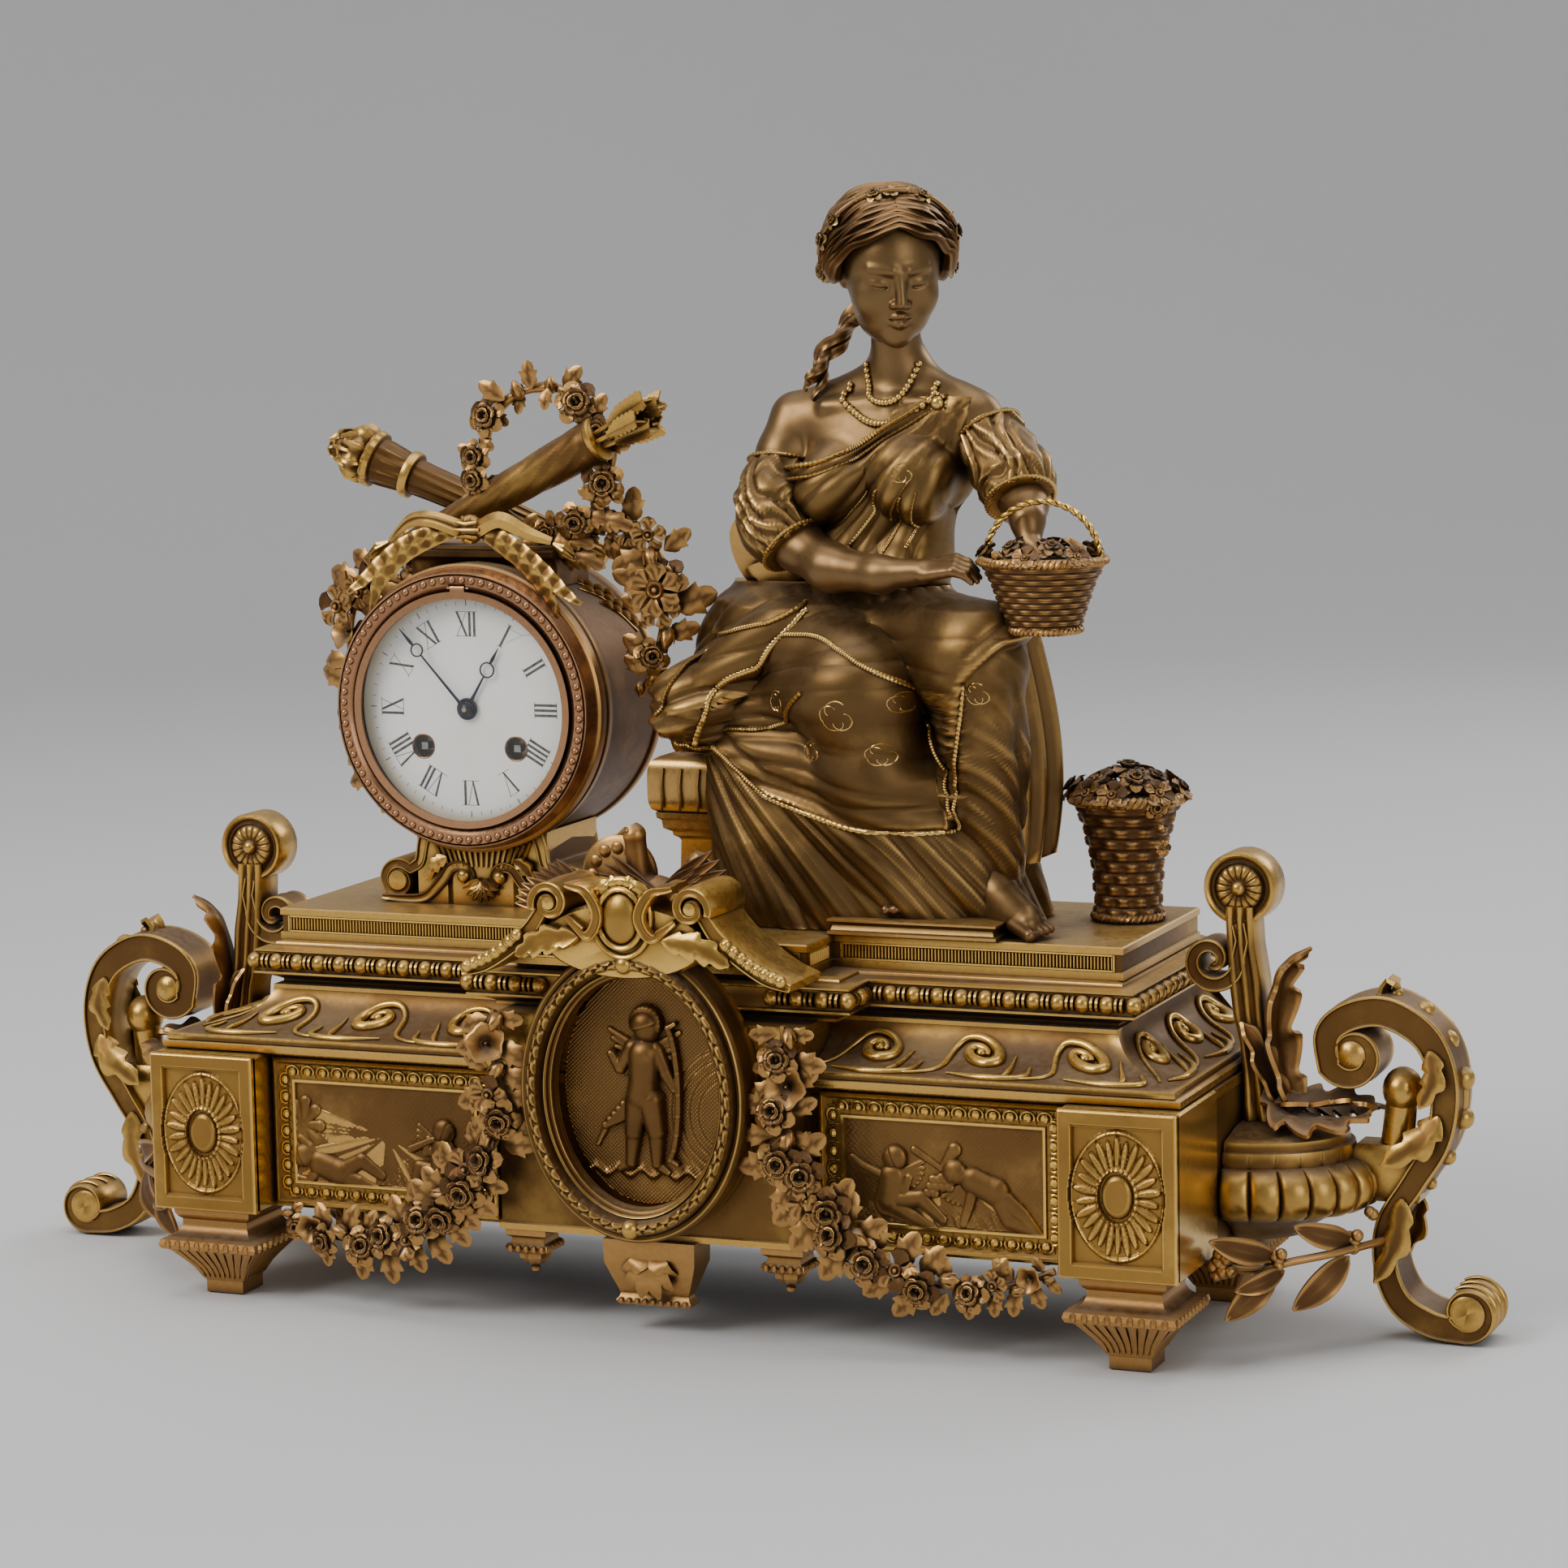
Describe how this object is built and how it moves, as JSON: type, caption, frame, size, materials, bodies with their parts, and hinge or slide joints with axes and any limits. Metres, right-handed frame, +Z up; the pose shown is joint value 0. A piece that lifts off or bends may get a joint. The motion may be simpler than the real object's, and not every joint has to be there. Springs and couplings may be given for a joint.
{
  "type": "mantel clock",
  "caption": "Figural mantel clock: drum movement with enamel dial and a seated figure on a moulded, scroll-ended cast base.",
  "frame": {"origin": "on the shelf, under the middle of the clock's outline", "axes": "+Z up, +X to the right as the dial is read, -Y towards the reader"},
  "size_m": [0.5788, 0.16, 0.41],
  "materials": {
    "gilt_cast": "aged gilding over cast metal, brown in the recesses",
    "bronze_figure": "dark patinated bronze finish",
    "copper_brass": "copper-brown polished brass",
    "enamel": "white enamel on copper",
    "glass": "clear glass",
    "dark_steel": "blued steel",
    "movement_brass": "machined brass",
    "steel": "polished steel",
    "bell_metal": "turned bell metal",
    "sheet_iron": "dark painted sheet iron"
  },
  "bodies": {
    "case": {"acanthus_leaves": "gilt_cast", "back_plate": "movement_brass", "base_chest": "gilt_cast", "base_plate": "sheet_iron", "basket_handle": "copper_brass", "bay_garlands": "gilt_cast", "bead_bezel": "copper_brass", "bell": "bell_metal", "case_screws": "steel", "clock_stand": "gilt_cast", "cornice": "gilt_cast", "cove_section": "gilt_cast", "crest_cartouche": "gilt_cast", "dial": "enamel", "doves": "gilt_cast", "drum_cap": "gilt_cast", "drum_case": "gilt_cast", "drum_garlands": "gilt_cast", "end_blocks": "gilt_cast", "feet": "gilt_cast", "figure_gown": "bronze_figure", "figure_head": "bronze_figure", "figure_limbs": "bronze_figure", "flower_basket": "gilt_cast", "footrest": "bronze_figure", "front_plate": "movement_brass", "hand_basket": "bronze_figure", "laurel_sprays": "gilt_cast", "medallion_frame": "gilt_cast", "medallion_plaque": "gilt_cast", "plate_pillars": "movement_brass", "platform": "gilt_cast", "relief_panels": "gilt_cast", "ribbon_bow": "gilt_cast", "rose_wreath": "gilt_cast", "scroll_leg_left": "gilt_cast", "scroll_leg_right": "gilt_cast", "scroll_posts": "gilt_cast", "side_bowls": "gilt_cast", "stool": "gilt_cast", "strike_train": "movement_brass", "torch_and_quiver": "gilt_cast", "under_drops": "gilt_cast"},
    "glazed_bezel": {"glass_bezel": "copper_brass", "bezel_glass": "glass"},
    "minute_train": {"minute_hand": "dark_steel", "centre_arbor": "movement_brass"},
    "hour_train": {"hour_hand": "dark_steel", "hour_wheel": "movement_brass"},
    "minute_wheel_body": {"minute_wheel": "movement_brass"},
    "intermediate": {"intermediate_wheel": "movement_brass"},
    "barrel": {"going_barrel": "movement_brass"},
    "third": {"third_wheel": "movement_brass"},
    "escape": {"escape_wheel": "movement_brass"},
    "going_arbor": {"going_winder": "steel"},
    "strike_arbor": {"strike_winder": "steel"},
    "pendulum_body": {"pendulum": "movement_brass", "pallets": "steel"},
    "hammer": {"bell_hammer": "steel"},
    "rear_door": {"back_cover": "movement_brass"}
  },
  "joints": [
    {"name": "bezel_hinge", "type": "hinge", "parent": "case", "child": "glazed_bezel", "pos_m": [-0.093, -0.0096, 0.2619], "axis": [-1, 0, 0], "range_deg": [0, 100]},
    {"name": "minute_turn", "type": "hinge", "parent": "case", "child": "minute_train", "pos_m": [-0.093, 0, 0.2167], "axis": [0, 1, 0], "continuous": true},
    {"name": "hour_turn", "type": "hinge", "parent": "case", "child": "hour_train", "pos_m": [-0.093, 0, 0.2167], "axis": [0, 1, 0], "continuous": true},
    {"name": "minute_wheel_turn", "type": "hinge", "parent": "case", "child": "minute_wheel_body", "pos_m": [-0.093, 0, 0.2287], "axis": [0, 1, 0], "continuous": true},
    {"name": "intermediate_turn", "type": "hinge", "parent": "case", "child": "intermediate", "pos_m": [-0.07792, 0, 0.22205], "axis": [0, 1, 0], "continuous": true},
    {"name": "barrel_turn", "type": "hinge", "parent": "case", "child": "barrel", "pos_m": [-0.0739, 0, 0.2022], "axis": [0, 1, 0], "continuous": true},
    {"name": "third_turn", "type": "hinge", "parent": "case", "child": "third", "pos_m": [-0.101, 0, 0.22903], "axis": [0, 1, 0], "continuous": true},
    {"name": "escape_turn", "type": "hinge", "parent": "case", "child": "escape", "pos_m": [-0.093, 0, 0.23712], "axis": [0, 1, 0], "continuous": true},
    {"name": "going_winding", "type": "hinge", "parent": "case", "child": "going_arbor", "pos_m": [-0.0739, 0, 0.2022], "axis": [0, 1, 0], "range_deg": [0, 1980]},
    {"name": "strike_winding", "type": "hinge", "parent": "case", "child": "strike_arbor", "pos_m": [-0.1121, 0, 0.2022], "axis": [0, 1, 0], "range_deg": [0, 1980]},
    {"name": "pendulum_swing", "type": "hinge", "parent": "case", "child": "pendulum_body", "pos_m": [-0.093, 0.0354, 0.24702], "axis": [0, 1, 0], "range_deg": [-4, 4]},
    {"name": "hammer_lift", "type": "hinge", "parent": "case", "child": "hammer", "pos_m": [-0.075, 0.04, 0.2387], "axis": [0, -1, 0], "range_deg": [0, 12], "stiffness_Nm_per_rad": 0.01, "springref_deg": -5.73},
    {"name": "rear_door_hinge", "type": "hinge", "parent": "case", "child": "rear_door", "pos_m": [-0.04, 0.056, 0.2167], "axis": [0, 0, -1], "range_deg": [0, 110]}
  ],
  "couplings": [
    {"joint": "hour_turn", "follows": "minute_turn", "ratio": 0.083333},
    {"joint": "minute_wheel_turn", "follows": "minute_turn", "ratio": -0.33333},
    {"joint": "intermediate_turn", "follows": "minute_turn", "ratio": -0.11111},
    {"joint": "barrel_turn", "follows": "minute_turn", "ratio": 0.013889},
    {"joint": "third_turn", "follows": "minute_turn", "ratio": -11.25},
    {"joint": "escape_turn", "follows": "minute_turn", "ratio": 135}
  ]
}
